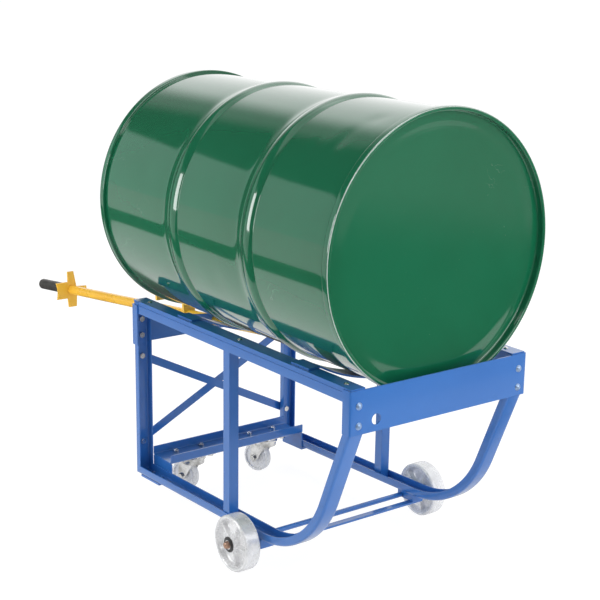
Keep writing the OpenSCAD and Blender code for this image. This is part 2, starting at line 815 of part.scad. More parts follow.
module caster_wheel_body() {
    axle_z = caster_r - caster_h;
    round = 5;
    translate([-caster_w / 2, trail, axle_z]) rotate([0, 90, 0]) difference() {
        union() {
            rotate_extrude($fn = 96) {
                translate([8, 0]) square([caster_r - 8 - round, caster_w]);
                translate([8, round]) square([caster_r - 8, caster_w - 2 * round]);
                for (z = [round, caster_w - round])
                    translate([caster_r - round, z]) circle(round, $fn = 48);
            }
            translate([0, 0, -1.6]) cylinder(r = 9, h = caster_w + 3.2);
        }
        translate([0, 0, -3]) cylinder(r = bolt_r + run_gap, h = caster_w + 6, $fn = 48);
        for (z = [-1, caster_w - 3])
            translate([0, 0, z]) difference() {
                cylinder(r = caster_r - 8, h = 4);
                translate([0, 0, -1]) cylinder(r = 11, h = 6);
            }
    }
}

// Axle bolt of a caster wheel with its head and nut outside the cheeks
module caster_pin_body() {
    axle_z = caster_r - caster_h;
    out = fork_in + fork_t;
    translate([-out, trail, axle_z]) rotate([0, 90, 0]) {
        hex_bolt(2 * out, nut_h + 1);
        translate([0, 0, 2 * out]) hexagon(nut_h);
    }
}

module turned(s) {
    at_caster(s) rotate(caster_turn) children();
}

module left_caster_fork() {
    color(zinc) turned(-1) fork_body();
}

module left_caster_wheel() {
    color(nylon) turned(-1) caster_wheel_body();
}

module left_caster_pin() {
    color(zinc) turned(-1) caster_pin_body();
}

module right_caster_fork() {
    color(zinc) turned(1) fork_body();
}

module right_caster_wheel() {
    color(nylon) turned(1) caster_wheel_body();
}

module right_caster_pin() {
    color(zinc) turned(1) caster_pin_body();
}

// Drum: local z runs from the front rim to the rear rim
module at_drum() {
    cart() translate([0, drum_y, axis_h]) rotate([-90, 0, 0]) children();
}

hoops = [hoop_front, hoop_front + hoop_gap];

// Outline of the body wall from z0 to z1, with both rolling hoops as smooth swells
function swell(z) = hoop_out * max([for (h = hoops) abs(z - h) < hoop_w / 2
    ? pow(cos(180 * (z - h) / hoop_w), 2) : 0]);
wall_z = concat([seam_len / 2], [for (h = hoops, i = [-6:6]) h + i * hoop_w / 12], [drum_len - seam_len / 2]);

module drum_shell() {
    outer = [for (z = wall_z) [drum_r + swell(z), z]];
    inner = [for (i = [len(wall_z) - 1:-1:0]) [drum_r - drum_wall + swell(wall_z[i]), wall_z[i]]];
    color(green) at_drum() rotate_extrude($fn = 180) polygon(concat(outer, inner));
}

seam_t = rim_r - drum_r + drum_wall + 1.5; // radial thickness of a rim seam

module seam_section() {
    r = seam_t / 2;
    difference() {
        union() {
            translate([rim_r - seam_t, r]) square([seam_t, seam_len - 2 * r]);
            for (z = [r, seam_len - r])
                translate([rim_r - r, z]) circle(r, $fn = 32);
        }
        translate([drum_r - drum_wall, seam_len / 2]) square([drum_wall, seam_len]);
    }
}

module drum_rims() {
    color(green) at_drum() {
        rotate_extrude($fn = 180) seam_section();
        translate([0, 0, drum_len]) mirror([0, 0, 1]) rotate_extrude($fn = 180) seam_section();
    }
}

// A pressed head: wall up to the rim, low edge ring and raised middle
module head_section() {
    out_r = rim_r - seam_t;
    d = head_deep;
    ring = head_flat_r + 4;
    polygon([[0, d - head_step], [head_flat_r, d - head_step], [ring, d], [out_r - 3, d], [out_r - drum_wall, d - 3],
        [out_r - drum_wall, seam_len / 3], [out_r, seam_len / 3], [out_r, d - 2], [out_r - 2, d + drum_wall],
        [ring - drum_wall / 2, d + drum_wall], [head_flat_r - drum_wall / 2, d - head_step + drum_wall],
        [0, d - head_step + drum_wall]]);
}

module drum_front_head() {
    color(green) at_drum() rotate_extrude($fn = 180) head_section();
}

module drum_rear_head() {
    color(green) at_drum() difference() {
        translate([0, 0, drum_len]) mirror([0, 0, 1]) rotate_extrude($fn = 180) head_section();
        for (p = plug_places)
            translate([p[0], p[1], drum_len - head_deep - 5]) cylinder(r = p[2] - 4, h = head_deep + 6);
    }
}

plug_places = [[0, -plug_at, plug_big_r], [0, plug_at, plug_small_r]];

// The filling and vent plugs, screwed into the rear head
module drum_plugs() {
    base = drum_len - head_deep + head_step;
    color(zinc) at_drum()
        for (p = plug_places)
            translate([p[0], p[1], 0]) difference() {
                union() {
                    translate([0, 0, base]) cylinder(r = p[2], h = 4, $fn = 64);
                    translate([0, 0, base - 14]) cylinder(r = p[2] - 4, h = 14 + eps, $fn = 64);
                }
                translate([0, 0, base - 8]) cylinder(r = p[2] - 8, h = 13, $fn = 6);
            }
}

// Lever: local z runs outwards along the tube from the rear plate, local -y is up
module on_lever(s) {
    translate([0, rear_face, lever_z]) rotate([-90 - lever_fall, 0, 0]) translate([0, 0, s]) children();
}

module lever_tube() {
    color(orange) cart() on_lever(-lever_in) difference() {
        cylinder(r = lever_r, h = lever_in + lever_out - 4);
        translate([0, 0, -1]) cylinder(r = lever_r - lever_wall, h = lever_in + lever_out);
    }
}

// Rim hook: neck on the tube, crossbar, and two prongs that reach into the drum's rear rim
prong_in = 10;
prong_at = rim_r - seam_t - prong_r - 9;   // distance of the prong tips from the drum axis
prong_x = hook_half - prong_r - 2;
tip_y = drum_back - prong_in - rear_face;
tip_z = axis_h - sqrt(prong_at * prong_at - prong_x * prong_x) - lever_z;
prong_s = tip_y * cos(lever_fall) - tip_z * sin(lever_fall);
prong_up = tip_y * sin(lever_fall) + tip_z * cos(lever_fall);

module lever_hook() {
    neck = 34;
    color(orange) cart() on_lever(hook_s) {
        difference() {
            union() {
                translate([-neck / 2, -hook_low - 1, 0]) cube([neck, hook_low + lever_r + 5, hook_t]);
                translate([-hook_half, -hook_low - hook_h, 0]) cube([2 * hook_half, hook_h, hook_t]);
            }
            translate([0, 0, -1]) cylinder(r = lever_r, h = hook_t + 2);
        }
        both_sides() translate([prong_x, -prong_up, prong_s - hook_s])
            cylinder(r = prong_r, h = hook_s - prong_s + hook_t / 2, $fn = 48);
    }
}

// Four-armed plate: two tapering arms, one narrow arm and one broad claw
module lever_star_plate() {
    far = star_reach;
    under = far * 0.93;
    side = far * 0.89;
    claw = side / 2;
    bite_r = side * 1.5;
    bite = 4;
    color(orange) cart() on_lever(star_s) difference() {
        linear_extrude(hook_t - 2) difference() {
            polygon([[-9.5, -far], [9.5, -far], [lever_r + 2.5, -9], [side, -6.5], [side, 6.5],
                [lever_r + 3.5, 9], [12.5, under], [-12.5, under], [-14, claw],
                [-side, claw], [-side, -claw], [-10.5, -claw]]);
            translate([bite - side - bite_r, 0]) circle(bite_r, $fn = 120);
        }
        translate([0, 0, -1]) cylinder(r = lever_r, h = hook_t);
    }
}

// Rubber grip with a rounded end over the outer end of the tube
module lever_grip() {
    color(black) cart() on_lever(lever_out - grip_l) difference() {
        union() {
            rotate_extrude($fn = 96) {
                translate([0, 1]) square([grip_r, grip_l - 7]);
                square([grip_r - 1, grip_l - 6]);
                translate([0, grip_l - 7]) square([grip_r - 6, 7]);
                intersection() {
                    translate([grip_r - 6, grip_l - 6]) circle(6, $fn = 48);
                    translate([0, 0]) square([grip_r, grip_l]);
                }
            }
        }
        translate([0, 0, -1]) cylinder(r = lever_r, h = grip_l - 4 + 1);
    }
}

left_side_frame();
right_side_frame();
left_top_rail();
right_top_rail();
left_middle_post();
right_middle_post();
front_plate();
rear_plate();
front_saddle();
rear_saddle();
brace_bar_front();
brace_bar_rear();
brace_spacers();
caster_channel();
left_caster_bracket();
right_caster_bracket();
axle_tie_bar();
axle_blocks();
wheel_axle();
axle_washers();
axle_caps();
front_plate_bolts();
front_plate_nuts();
rear_plate_bolts();
rear_plate_nuts();
brace_bolts();
brace_nuts();
rail_rivets();
bracket_bolts();
bracket_nuts();
caster_plates();
caster_bolts();
caster_nuts();
caster_kingpins();
left_wheel();
left_wheel_bush();
right_wheel();
right_wheel_bush();
left_caster_fork();
left_caster_wheel();
left_caster_pin();
right_caster_fork();
right_caster_wheel();
right_caster_pin();
drum_shell();
drum_rims();
drum_front_head();
drum_rear_head();
drum_plugs();
lever_tube();
lever_hook();
lever_star_plate();
lever_grip();
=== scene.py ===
"""Looks of the drum cart: painted channels, a glossy steel drum, cast wheels and a bright lever."""

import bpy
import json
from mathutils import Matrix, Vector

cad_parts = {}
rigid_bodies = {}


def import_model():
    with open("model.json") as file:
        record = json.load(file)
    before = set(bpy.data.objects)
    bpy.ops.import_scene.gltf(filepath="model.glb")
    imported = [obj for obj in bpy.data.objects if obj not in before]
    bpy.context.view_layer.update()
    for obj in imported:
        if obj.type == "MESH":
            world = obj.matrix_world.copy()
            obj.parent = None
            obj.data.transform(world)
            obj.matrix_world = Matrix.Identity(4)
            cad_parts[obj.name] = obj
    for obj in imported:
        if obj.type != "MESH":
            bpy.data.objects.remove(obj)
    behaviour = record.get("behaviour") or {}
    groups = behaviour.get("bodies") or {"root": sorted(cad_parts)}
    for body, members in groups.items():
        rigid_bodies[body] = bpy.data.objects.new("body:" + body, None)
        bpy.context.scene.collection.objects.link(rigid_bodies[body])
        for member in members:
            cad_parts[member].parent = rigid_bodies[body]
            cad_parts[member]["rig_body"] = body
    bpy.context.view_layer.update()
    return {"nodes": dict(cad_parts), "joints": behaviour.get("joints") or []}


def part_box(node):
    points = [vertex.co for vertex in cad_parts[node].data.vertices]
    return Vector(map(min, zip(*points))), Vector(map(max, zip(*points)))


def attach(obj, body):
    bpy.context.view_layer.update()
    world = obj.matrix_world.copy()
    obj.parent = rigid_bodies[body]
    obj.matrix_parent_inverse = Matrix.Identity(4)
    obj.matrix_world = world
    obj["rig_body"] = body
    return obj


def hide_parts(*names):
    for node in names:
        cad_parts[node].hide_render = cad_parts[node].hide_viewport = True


bl_info = {
    "name": "Drum cart looks",
    "version": (1, 0, 0),
    "blender": (4, 5, 0),
    "location": "3D View > Sidebar > Drum cart",
    "description": "Dresses a drum cart with finished surfaces, pieces and a pale stage",
    "category": "Object",
}

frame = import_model()

import json
import math

import bmesh
import bpy
import numpy as np
from bpy.props import FloatProperty, FloatVectorProperty, IntProperty, PointerProperty
from mathutils import Matrix, Vector

JOINTS = {joint["name"]: joint for joint in frame["joints"]}
PARTS = frame["nodes"]
DRUM_AT = Vector(JOINTS["drum_spin"]["pos_m"])
MM = 0.001
RACE_ABOVE = 0.6 * MM
HOOPS_AT = (274 * MM, 561 * MM)
RIM_THICK = 9 * MM
HEAD_DEPTH = 16 * MM
WALL_SHEET = 1.4 * MM
HUB_RADIUS = 18 * MM
TREAD_FROM = 10 * MM
TREAD_WIDTH = 38 * MM


def colour(name, note, value):
    return FloatVectorProperty(name=name, description=note, default=value, size=3, min=0, max=1,
                               subtype="COLOR")


def length(name, note, value):
    return FloatProperty(name=name, description=note, default=value, subtype="DISTANCE", unit="LENGTH",
                         precision=5)


def turn_angle(name, note, value):
    return FloatProperty(name=name, description=note, default=value, subtype="ANGLE")


class DrumLook(bpy.types.PropertyGroup):
    paint: colour("Paint", "Drum paint in full light", (0.008, 0.146, 0.066))
    shade: colour("Shade", "Paint in its thicker, darker patches", (0.007, 0.132, 0.058))
    bare: colour("Worn edge", "Dull metal and chalky paint on rubbed rims", (0.50, 0.60, 0.55))
    hoop_rise: length("Hoop rise", "How far a rolling hoop stands out", 5.9 * MM)
    hoop_width: length("Hoop width", "Axial width of a rolling hoop", 39 * MM)
    hollow: length("Hollow", "How far the wall falls in behind each hoop", 3.2 * MM)
    groove: length("Groove", "Depth of the groove along each side of a hoop", 0.5 * MM)
    dent: length("Dent", "Depth of the largest dent", 1.6 * MM)


class CartLook(bpy.types.PropertyGroup):
    paint: colour("Paint", "Blue frame paint", (0.028, 0.174, 0.560))
    shade: colour("Shade", "Blue paint in thin patches", (0.023, 0.154, 0.515))
    zinc: colour("Zinc", "Plated bolts and casters", (0.88, 0.88, 0.88))
    channel_width: length("Channel width", "Width of the bent side channels", 38 * MM)
    channel_depth: length("Channel depth", "Depth of the bent side channels", 20 * MM)
    sheet: length("Sheet", "Thickness of the channel's sheet", 3 * MM)
    corner: length("Corner", "Outer corner radius of the channel", 6.5 * MM)
    rocker: length("Rocker", "Outer radius of the large bend", 245 * MM)
    kink: length("Upper bend", "Outer radius of the bend behind the plate", 30 * MM)
    kink_height: length("Upper bend height", "Height at which the leg turns upright", 410 * MM)
    rise: turn_angle("Rise", "Slope of the bottom channel", math.radians(1.9))
    lean: turn_angle("Lean", "Lean of the front leg", math.radians(22.3))


class WheelLook(bpy.types.PropertyGroup):
    metal: colour("Wheel", "Silver finish of the wheels", (0.97, 0.97, 0.98))
    dull: colour("Dull", "Duller patches of the wheels", (0.80, 0.80, 0.81))
    copper: colour("Cap", "Coppery caps on the axle", (0.55, 0.34, 0.24))
    ribs: IntProperty(name="Ribs", description="Ribs on each face of a front wheel", default=5, min=3, max=8)
    rib_width: length("Rib width", "Width of a rib", 7 * MM)
    rib_rise: length("Rib rise", "How far the ribs stand out of the web", 11 * MM)


class LeverLook(bpy.types.PropertyGroup):
    paint: colour("Paint", "Lever paint", (1.0, 0.60, 0.060))
    shade: colour("Shade", "Lever paint in thicker patches", (0.97, 0.53, 0.048))
    rubber: colour("Grip", "Rubber of the grip", (0.050, 0.047, 0.043))


class StudioLook(bpy.types.PropertyGroup):
    floor: colour("Floor", "Pale studio floor", (0.90, 0.90, 0.91))
    yaw: turn_angle("Yaw", "Camera turn from the drum axis", -0.642101)
    pitch: turn_angle("Pitch", "Camera tilt downwards", 0.254924)
    roll: turn_angle("Roll", "Camera roll", -0.014185)
    place: FloatVectorProperty(name="Camera", description="Camera position",
                               default=(-1.8228, -2.8550, 1.3341), size=3, subtype="XYZ", unit="LENGTH")
    lens: FloatProperty(name="Lens", description="Focal length in millimetres on a 36 mm frame",
                        default=82.15)


# Meshes from grids

def make_object(name, mesh):
    obj = bpy.data.objects.new(name, mesh)
    bpy.context.scene.collection.objects.link(obj)
    return obj


def grid_quads(rows, cols, wrap_rows, wrap_cols):
    """Quad corners of a rows by cols grid of points, joined round where a direction wraps."""
    i = np.arange(rows if wrap_rows else rows - 1)[:, None]
    j = np.arange(cols if wrap_cols else cols - 1)[None, :]
    i2 = (i + 1) % rows
    j2 = (j + 1) % cols
    quads = np.stack([i * cols + j, i * cols + j2, i2 * cols + j2, i2 * cols + j], -1)
    return quads.reshape(-1, 4)


def grid_mesh(name, points, wrap_rows=False, wrap_cols=True, attribute=None):
    """Mesh of a (rows, cols, 3) array of points, with an optional value for each point."""
    rows, cols = points.shape[:2]
    quads = grid_quads(rows, cols, wrap_rows, wrap_cols)
    mesh = bpy.data.meshes.new(name)
    mesh.vertices.add(rows * cols)
    mesh.vertices.foreach_set("co", points.astype(np.float32).ravel())
    mesh.loops.add(quads.size)
    mesh.loops.foreach_set("vertex_index", quads.astype(np.int32).ravel())
    mesh.polygons.add(len(quads))
    mesh.polygons.foreach_set("loop_start", np.arange(0, quads.size, 4, dtype=np.int32))
    mesh.update(calc_edges=True)
    if attribute is not None:
        values = mesh.attributes.new(attribute[0], "FLOAT", "POINT")
        values.data.foreach_set("value", attribute[1].astype(np.float32).ravel())
    mesh.validate()
    return mesh


def finish_mesh(obj, angle=32, close=True):
    """Merges doubled points, points the faces outwards and sets smooth shading with sharp edges."""
    bm = bmesh.new()
    bm.from_mesh(obj.data)
    bmesh.ops.remove_doubles(bm, verts=bm.verts, dist=2e-6)
    if close:
        bmesh.ops.holes_fill(bm, edges=[e for e in bm.edges if e.is_boundary], sides=0)
    bmesh.ops.recalc_face_normals(bm, faces=bm.faces)
    bm.to_mesh(obj.data)
    bm.free()
    obj.data.shade_smooth()
    obj.data.set_sharp_from_angle(angle=math.radians(angle))
    return obj


def rounded(points, radii, steps=5, closed=False):
    """Polyline with each corner replaced by a quadratic curve that starts and ends radius before it."""
    pts = np.asarray(points, float)
    out = []
    count = len(pts)
    radii = np.broadcast_to(radii, count)
    for k in range(count):
        if not closed and k in (0, count - 1) or radii[k] <= 0:
            out.append(pts[k][None])
            continue
        before = pts[k - 1] - pts[k]
        after = pts[(k + 1) % count] - pts[k]
        reach = min(radii[k], 0.49 * np.linalg.norm(before), 0.49 * np.linalg.norm(after))
        a = pts[k] + before / np.linalg.norm(before) * reach
        b = pts[k] + after / np.linalg.norm(after) * reach
        t = np.linspace(0, 1, steps)[:, None]
        out.append((1 - t) ** 2 * a + 2 * t * (1 - t) * pts[k] + t ** 2 * b)
    return np.concatenate(out)


def split_long(line, longest):
    """The same line with each long straight run cut into even steps."""
    rows = [line[:1]]
    for a, b in zip(line, line[1:]):
        count = max(1, math.ceil(np.linalg.norm(b - a) / longest))
        step = np.linspace(0, 1, count + 1)[1:, None]
        rows.append(a * (1 - step) + b * step)
    return np.concatenate(rows)


def revolve(profile, origin, axis, across, segments=192):
    """Grid of points: each (radius, height) of the profile turned about the axis through origin."""
    axis = np.array(Vector(axis).normalized())
    u = np.array(Vector(across).normalized())
    v = np.cross(axis, u)
    turn = np.linspace(0, 2 * np.pi, segments, endpoint=False)
    ring = np.cos(turn)[:, None] * u + np.sin(turn)[:, None] * v
    r = profile[:, 0][:, None, None]
    h = profile[:, 1][:, None, None]
    return np.array(origin) + r * ring[None] + h * axis


def sweep(section, path, side, inward):
    """Grid of points: the closed (width, depth) section carried along a path with its own directions."""
    w = section[:, 0][None, :, None]
    d = section[:, 1][None, :, None]
    return path[:, None] + w * side[None, None] + d * inward[:, None]


# Putting pieces on the frame

def place(obj, body, material, slot, nodes=()):
    """Gives a finished piece its material and its body, and hides the nodes it stands in for."""
    obj.data.materials.clear()
    obj.data.materials.append(material)
    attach(obj, body)
    if nodes:
        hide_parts(*nodes)
    return obj


def dress(node, material, slot, bevel=0.5 * MM, angle=32, segments=2):
    """A merged copy of a node with smooth faces and softly rounded edges, in place of the node."""
    source = PARTS[node]
    obj = make_object(node + "_finish", source.data.copy())
    obj.data.materials.clear()
    bm = bmesh.new()
    bm.from_mesh(obj.data)
    bmesh.ops.remove_doubles(bm, verts=bm.verts, dist=1e-6)
    bmesh.ops.dissolve_limit(bm, angle_limit=math.radians(0.6), verts=bm.verts, edges=bm.edges)
    bm.to_mesh(obj.data)
    bm.free()
    obj.data.shade_smooth()
    obj.data.set_sharp_from_angle(angle=math.radians(angle))
    if bevel > 0:
        edge = obj.modifiers.new("soft_edges", "BEVEL")
        edge.width = bevel
        edge.segments = segments
        edge.limit_method = "ANGLE"
        edge.angle_limit = math.radians(angle)
        edge.harden_normals = True
    return place(obj, source["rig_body"], material, slot, [node])


# Shader groups and materials

class Recipe:
    """Adds nodes to a tree and links them by name."""

    def __init__(self, tree):
        self.tree = tree

    def node(self, kind, values=None, **settings):
        made = self.tree.nodes.new(kind)
        for key, value in settings.items():
            setattr(made, key, value)
        for key, value in (values or {}).items():
            if isinstance(value, bpy.types.NodeSocket):
                self.tree.links.new(value, made.inputs[key])
            else:
                made.inputs[key].default_value = value
        return made

    def math(self, operation, a, b=0.0, clamp=False):
        return self.node("ShaderNodeMath", {0: a, 1: b}, operation=operation, use_clamp=clamp).outputs[0]

    def ramp(self, value, low, high, start=0.0, end=1.0):
        values = {"Value": value, "From Min": low, "From Max": high, "To Min": start, "To Max": end}
        return self.node("ShaderNodeMapRange", values, interpolation_type="SMOOTHSTEP").outputs[0]

    def mix(self, factor, a, b):
        made = self.node("ShaderNodeMix", data_type="RGBA")
        for socket, value in ((made.inputs[0], factor), (made.inputs[6], a), (made.inputs[7], b)):
            if isinstance(value, bpy.types.NodeSocket):
                self.tree.links.new(value, socket)
            else:
                socket.default_value = value
        return made.outputs[2]

    def noise(self, vector, scale, detail=3.0, roughness=0.5, distortion=0.0):
        values = {"Vector": vector, "Scale": scale, "Detail": detail, "Roughness": roughness,
                  "Distortion": distortion}
        return self.node("ShaderNodeTexNoise", values).outputs["Fac"]


def group_sockets(tree, inputs, outputs):
    for name, kind, value in inputs:
        socket = tree.interface.new_socket(name=name, in_out="INPUT", socket_type=kind)
        if value is not None:
            socket.default_value = value
    for name, kind in outputs:
        tree.interface.new_socket(name=name, in_out="OUTPUT", socket_type=kind)


def paint_skin():
    """Group: paint that varies in shade, with fine scratches, specks and an orange-peel surface."""
    found = bpy.data.node_groups.get("paint_skin")
    if found:
        return found
    tree = bpy.data.node_groups.new("paint_skin", "ShaderNodeTree")
    group_sockets(tree, [
        ("Paint", "NodeSocketColor", (0.5, 0.5, 0.5, 1)),
        ("Shade", "NodeSocketColor", (0.4, 0.4, 0.4, 1)),
        ("Scuff", "NodeSocketColor", (0.7, 0.7, 0.7, 1)),
        ("Scuffs", "NodeSocketFloat", 0.5),
        ("Roughness", "NodeSocketFloat", 0.2),
        ("Peel", "NodeSocketFloat", 0.1),
        ("Peel Scale", "NodeSocketFloat", 240.0),
    ], [("Color", "NodeSocketColor"), ("Roughness", "NodeSocketFloat"), ("Normal", "NodeSocketVector")])
    r = Recipe(tree)
    given = r.node("NodeGroupInput")
    spot = r.node("ShaderNodeTexCoord").outputs["Object"]
    cloud = r.ramp(r.noise(spot, 3.2, 4.0, 0.55), 0.34, 0.66)
    shade = r.mix(cloud, given.outputs["Paint"], given.outputs["Shade"])
    wander = r.noise(spot, 9.0, 5.0, 0.5, 1.4)
    line = r.ramp(r.math("ABSOLUTE", r.math("SUBTRACT", wander, 0.5)), 0.0, 0.0035, 1.0, 0.0)
    patch = r.ramp(r.noise(spot, 5.0, 2.0), 0.66, 0.74)
    scratch = r.math("MULTIPLY", line, patch)
    speck = r.ramp(r.noise(spot, 310.0, 1.0), 0.80, 0.83)
    few = r.ramp(r.noise(spot, 7.0, 1.0), 0.50, 0.62)
    speck = r.math("MULTIPLY", speck, few)
    marks = r.math("MULTIPLY", r.math("MAXIMUM", scratch, speck), given.outputs["Scuffs"], True)
    final = r.mix(marks, shade, given.outputs["Scuff"])
    haze = r.ramp(r.noise(spot, 6.0, 5.0, 0.6), 0.3, 0.8, -0.02, 0.05)
    rough = r.math("ADD", given.outputs["Roughness"], haze)
    rough = r.math("ADD", rough, r.math("MULTIPLY", marks, 0.35), True)
    peel = r.noise(spot, given.outputs["Peel Scale"], 2.0, 0.4)
    bump = r.node("ShaderNodeBump", {"Strength": given.outputs["Peel"], "Distance": 0.0004, "Height": peel})
    out = r.node("NodeGroupOutput")
    tree.links.new(final, out.inputs["Color"])
    tree.links.new(rough, out.inputs["Roughness"])
    tree.links.new(bump.outputs[0], out.inputs["Normal"])
    return tree


def rub_mask():
    """Group: where an edge is rubbed, from a value on the mesh broken up by noise."""
    found = bpy.data.node_groups.get("rub_mask")
    if found:
        return found
    tree = bpy.data.node_groups.new("rub_mask", "ShaderNodeTree")
    group_sockets(tree, [("Amount", "NodeSocketFloat", 0.5)], [("Mask", "NodeSocketFloat")])
    r = Recipe(tree)
    given = r.node("NodeGroupInput")
    spot = r.node("ShaderNodeTexCoord").outputs["Object"]
    rub = r.node("ShaderNodeAttribute", attribute_name="rub").outputs["Fac"]
    broad = r.noise(spot, 9.0, 3.0)
    fine = r.noise(spot, 130.0, 4.0, 0.65)
    mixed = r.math("ADD", r.math("MULTIPLY", broad, 0.55), r.math("MULTIPLY", fine, 0.45))
    edge = r.math("ADD", rub, r.math("SUBTRACT", mixed, 0.5))
    level = r.math("SUBTRACT", 1.0, given.outputs["Amount"])
    mask = r.ramp(r.math("SUBTRACT", edge, level), 0.0, 0.16)
    out = r.node("NodeGroupOutput")
    tree.links.new(mask, out.inputs["Mask"])
    return tree


def new_material(name):
    found = bpy.data.materials.get(name)
    if found:
        bpy.data.materials.remove(found)
    material = bpy.data.materials.new(name)
    material.use_nodes = True
    tree = material.node_tree
    tree.nodes.clear()
    recipe = Recipe(tree)
    shader = recipe.node("ShaderNodeBsdfPrincipled")
    out = recipe.node("ShaderNodeOutputMaterial")
    tree.links.new(shader.outputs[0], out.inputs[0])
    return material, recipe, shader


def rgba(value):
    return (*value, 1.0)


def painted(name, paint, shade, scuff, scuffs, roughness, peel, peel_scale, coat, coat_roughness,
            rub=0.0):
    """Paint over metal, with a clear top and, where rub is given, rubbed edges."""
    material, r, shader = new_material(name)
    skin = r.node("ShaderNodeGroup", node_tree=paint_skin())
    for key, value in (("Paint", rgba(paint)), ("Shade", rgba(shade)), ("Scuff", rgba(scuff)),
                       ("Scuffs", scuffs), ("Roughness", roughness), ("Peel", peel),
                       ("Peel Scale", peel_scale)):
        skin.inputs[key].default_value = value
    base = skin.outputs["Color"]
    rough = skin.outputs["Roughness"]
    if rub > 0:
        mask = r.node("ShaderNodeGroup", {"Amount": rub}, node_tree=rub_mask()).outputs[0]
        base = r.mix(mask, base, rgba(scuff))
        rough = r.math("ADD", rough, r.math("MULTIPLY", mask, 0.25), True)
    links = r.tree.links
    links.new(base, shader.inputs["Base Color"])
    links.new(rough, shader.inputs["Roughness"])
    links.new(skin.outputs["Normal"], shader.inputs["Normal"])
    shader.inputs["Coat Weight"].default_value = coat
    shader.inputs["Coat Roughness"].default_value = coat_roughness
    return material


def plated(name, tone, dull, roughness, metallic=1.0, grain=380.0, bump=0.08):
    """Plated or cast metal with cloudy dull patches and a fine grain."""
    material, r, shader = new_material(name)
    spot = r.node("ShaderNodeTexCoord").outputs["Object"]
    cloud = r.ramp(r.noise(spot, 30.0, 5.0, 0.6), 0.35, 0.7)
    base = r.mix(cloud, rgba(tone), rgba(dull))
    fine = r.noise(spot, grain, 3.0, 0.6)
    rough = r.math("ADD", r.math("MULTIPLY", fine, 0.18), roughness - 0.09, True)
    skin = r.node("ShaderNodeBump", {"Strength": bump, "Distance": 0.0005, "Height": fine})
    links = r.tree.links
    links.new(base, shader.inputs["Base Color"])
    links.new(rough, shader.inputs["Roughness"])
    links.new(skin.outputs[0], shader.inputs["Normal"])
    shader.inputs["Metallic"].default_value = metallic
    return material


def moulded(name, tone, dull, roughness, grain=500.0, bump=0.2):
    """Moulded rubber or plastic with a matt, slightly uneven skin."""
    return plated(name, tone, dull, roughness, 0.0, grain, bump)


def kept(name, make):
    """The material of that name, made once."""
    return bpy.data.materials.get(name) or make()


def drum_paint(rub=0.0):
    look = bpy.context.scene.drum_look
    name = "drum_gloss_rubbed" if rub else "drum_gloss"
    return kept(name, lambda: painted(
        name, look.paint, look.shade, look.bare, 0.36, 0.10, 0.04, 120.0, 1.0, 0.03, rub))


def cart_paint():
    look = bpy.context.scene.cart_look
    return kept("cart_gloss", lambda: painted(
        "cart_gloss", look.paint, look.shade, (0.30, 0.42, 0.70), 0.35, 0.32, 0.18, 420.0, 0.90, 0.12))


def lever_paint():
    look = bpy.context.scene.lever_look
    return kept("lever_gloss", lambda: painted(
        "lever_gloss", look.paint, look.shade, (0.75, 0.62, 0.40), 0.4, 0.28, 0.15, 300.0, 0.4, 0.10))


def zinc():
    look = bpy.context.scene.cart_look
    return kept("zinc_plate_skin", lambda: plated(
        "zinc_plate_skin", look.zinc, (0.42, 0.42, 0.41), 0.20, bump=0.04))


def tinted_zinc():
    """Plated bolts with a bluish, uneven tone in their colour."""
    return kept("tinted_bolt_skin", lambda: plated(
        "tinted_bolt_skin", (0.44, 0.58, 0.80), (0.30, 0.46, 0.74), 0.30, 0.6))


def wheel_metal():
    look = bpy.context.scene.wheel_look
    return kept("wheel_silver_skin", lambda: plated(
        "wheel_silver_skin", look.metal, look.dull, 0.27, 0.22, 60.0, 0.02))


def bush_rubber():
    return kept("bush_plastic_skin", lambda: moulded(
        "bush_plastic_skin", (0.020, 0.020, 0.022), (0.035, 0.035, 0.036), 0.35))


def cap_copper():
    look = bpy.context.scene.wheel_look
    return kept("cap_copper_skin", lambda: plated(
        "cap_copper_skin", look.copper, (0.46, 0.31, 0.25), 0.30))


def grip_rubber():
    look = bpy.context.scene.lever_look
    return kept("grip_rubber_skin", lambda: moulded(
        "grip_rubber_skin", look.rubber, (0.075, 0.071, 0.066), 0.42))


# Drum

def drum_points(profile, segments=288):
    """The (radius, distance from the front rim) profile turned about the drum axis, front first."""
    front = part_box("drum_rims")[0].y
    origin = (DRUM_AT.x, front, DRUM_AT.z)
    return revolve(profile, origin, (0, 1, 0), (1, 0, 0), segments)


def drum_radius():
    low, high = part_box("drum_rims")
    return (high.z - low.z) / 2


